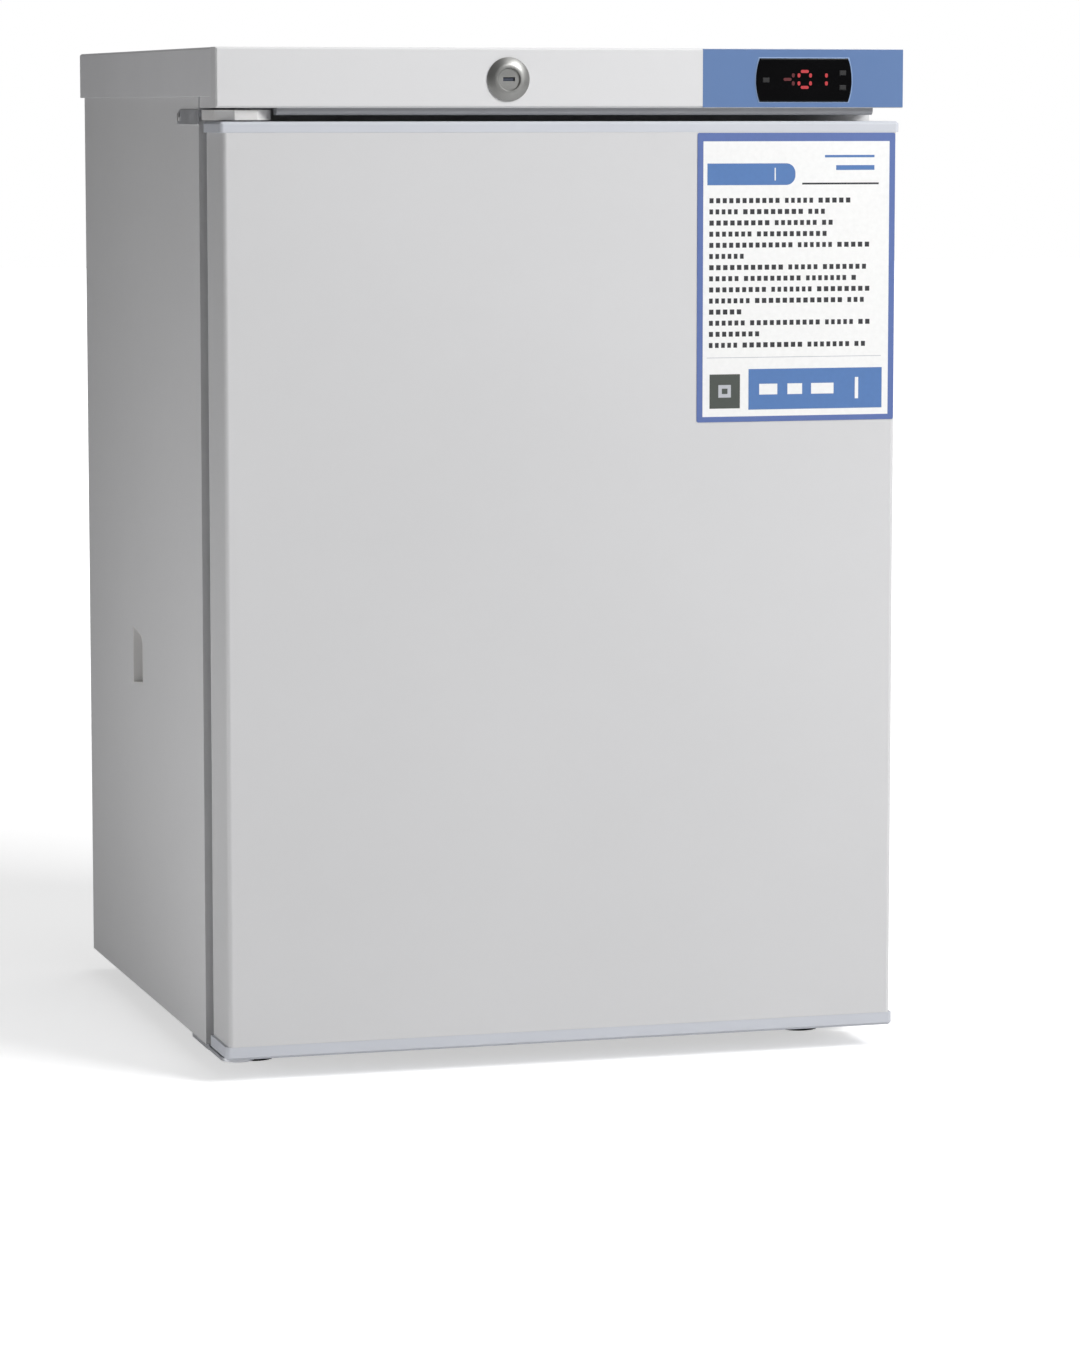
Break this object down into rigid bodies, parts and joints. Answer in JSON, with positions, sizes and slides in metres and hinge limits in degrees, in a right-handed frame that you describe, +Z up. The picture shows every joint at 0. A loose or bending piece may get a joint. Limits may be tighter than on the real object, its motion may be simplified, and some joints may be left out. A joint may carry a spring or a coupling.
{
  "type": "undercounter deep freezer",
  "caption": "Upright undercounter deep freezer with one insulated door, key lock, control display, refrigerated wire shelves and a compressor bay at the back.",
  "frame": {"origin": "on the floor, below the middle of the whole object", "axes": "+X to the right of someone facing the door, +Y to the back, +Z up"},
  "size_m": [0.59, 0.608, 0.85],
  "materials": {
    "white_enamel": "satin enamel",
    "white_plastic": "fine matte moulding",
    "cap_plastic": "matte moulding",
    "light_plastic": "matte moulding",
    "blue_plate": "smooth film on a thin plate",
    "dark_window": "glossy dark window",
    "black_plastic": "matte moulding",
    "key_plastic": "matte moulding",
    "lock_metal": "satin chrome",
    "zinc_steel": "zinc plated",
    "grey_plastic": "matte moulding",
    "liner_plastic": "smooth moulding",
    "foam": null,
    "seal_rubber": "soft seal",
    "black_rubber": "matte rubber",
    "galvanised": "galvanised sheet",
    "copper": null,
    "black_enamel": "semi-gloss black enamel",
    "wire_enamel": "black enamel on wire and tube",
    "frosted_aluminium": "plain drawn tube"
  },
  "bodies": {
    "cabinet": {"air_probe": "zinc_steel", "back_panel": "galvanised", "base_pan": "galvanised", "bay_panel": "galvanised", "cabinet_foam": "foam", "compressor_grommets": "black_rubber", "compressor_lower_shell": "black_enamel", "compressor_tray": "galvanised", "compressor_upper_shell": "black_enamel", "condenser_clips": "black_enamel", "condenser_tube": "wire_enamel", "condenser_wires": "wire_enamel", "control_panel": "blue_plate", "controller_body": "black_plastic", "display_window": "dark_window", "evaporator_risers": "frosted_aluminium", "fascia_panel": "white_enamel", "fasteners": "zinc_steel", "filter_drier": "copper", "front_frame": "white_enamel", "hinge_bracket_bottom": "zinc_steel", "hinge_bracket_top": "zinc_steel", "hinge_cover": "light_plastic", "hinge_pins": "zinc_steel", "inner_liner": "liner_plastic", "lock_barrel": "lock_metal", "port_cup": "light_plastic", "port_plug": "black_rubber", "power_inlet": "black_plastic", "refrigerant_tubes": "copper", "shelf_coil_1": "frosted_aluminium", "shelf_coil_2": "frosted_aluminium", "shelf_coil_3": "frosted_aluminium", "shelf_wires_1": "frosted_aluminium", "shelf_wires_2": "frosted_aluminium", "shelf_wires_3": "frosted_aluminium", "side_panel_left": "white_enamel", "side_panel_right": "white_enamel", "terminal_cover": "black_plastic", "top_plate": "galvanised", "wall_spacers": "black_plastic", "worktop": "white_plastic"},
    "door": {"door_skin": "white_enamel", "door_top_cap": "cap_plastic", "door_bottom_cap": "cap_plastic", "door_foam": "foam", "door_liner": "liner_plastic", "door_gasket": "seal_rubber", "door_grip": "grey_plastic", "hinge_bushes": "light_plastic"},
    "lock": {"lock_plug": "lock_metal", "lock_cam": "zinc_steel"},
    "set_key": {"key_set": "key_plastic"},
    "up_key": {"key_up": "key_plastic"},
    "down_key": {"key_down": "key_plastic"},
    "front_left_foot": {"foot_front_left": "black_plastic"},
    "front_right_foot": {"foot_front_right": "black_plastic"},
    "back_left_foot": {"foot_back_left": "black_plastic"},
    "back_right_foot": {"foot_back_right": "black_plastic"}
  },
  "joints": [
    {"name": "door_hinge", "type": "hinge", "parent": "cabinet", "child": "door", "pos_m": [-0.276, -0.27, 0.4], "axis": [0, 0, -1], "range_deg": [0, 110]},
    {"name": "lock_turn", "type": "hinge", "parent": "cabinet", "child": "lock", "pos_m": [-0.0497, -0.3, 0.8243], "axis": [0, 1, 0], "range_deg": [0, 90]},
    {"name": "set_key_press", "type": "slide", "parent": "cabinet", "child": "set_key", "axis": [0, 1, 0], "range_m": [0, 0.0005], "stiffness_N_per_m": 400},
    {"name": "up_key_press", "type": "slide", "parent": "cabinet", "child": "up_key", "axis": [0, 1, 0], "range_m": [0, 0.0005], "stiffness_N_per_m": 400},
    {"name": "down_key_press", "type": "slide", "parent": "cabinet", "child": "down_key", "axis": [0, 1, 0], "range_m": [0, 0.0005], "stiffness_N_per_m": 400},
    {"name": "front_left_foot_turn", "type": "hinge", "parent": "cabinet", "child": "front_left_foot", "pos_m": [-0.2445, -0.19, 0], "axis": [0, 0, 1], "continuous": true},
    {"name": "front_right_foot_turn", "type": "hinge", "parent": "cabinet", "child": "front_right_foot", "pos_m": [0.2445, -0.19, 0], "axis": [0, 0, 1], "continuous": true},
    {"name": "back_left_foot_turn", "type": "hinge", "parent": "cabinet", "child": "back_left_foot", "pos_m": [-0.2445, 0.235, 0], "axis": [0, 0, 1], "continuous": true},
    {"name": "back_right_foot_turn", "type": "hinge", "parent": "cabinet", "child": "back_right_foot", "pos_m": [0.2445, 0.235, 0], "axis": [0, 0, 1], "continuous": true}
  ]
}
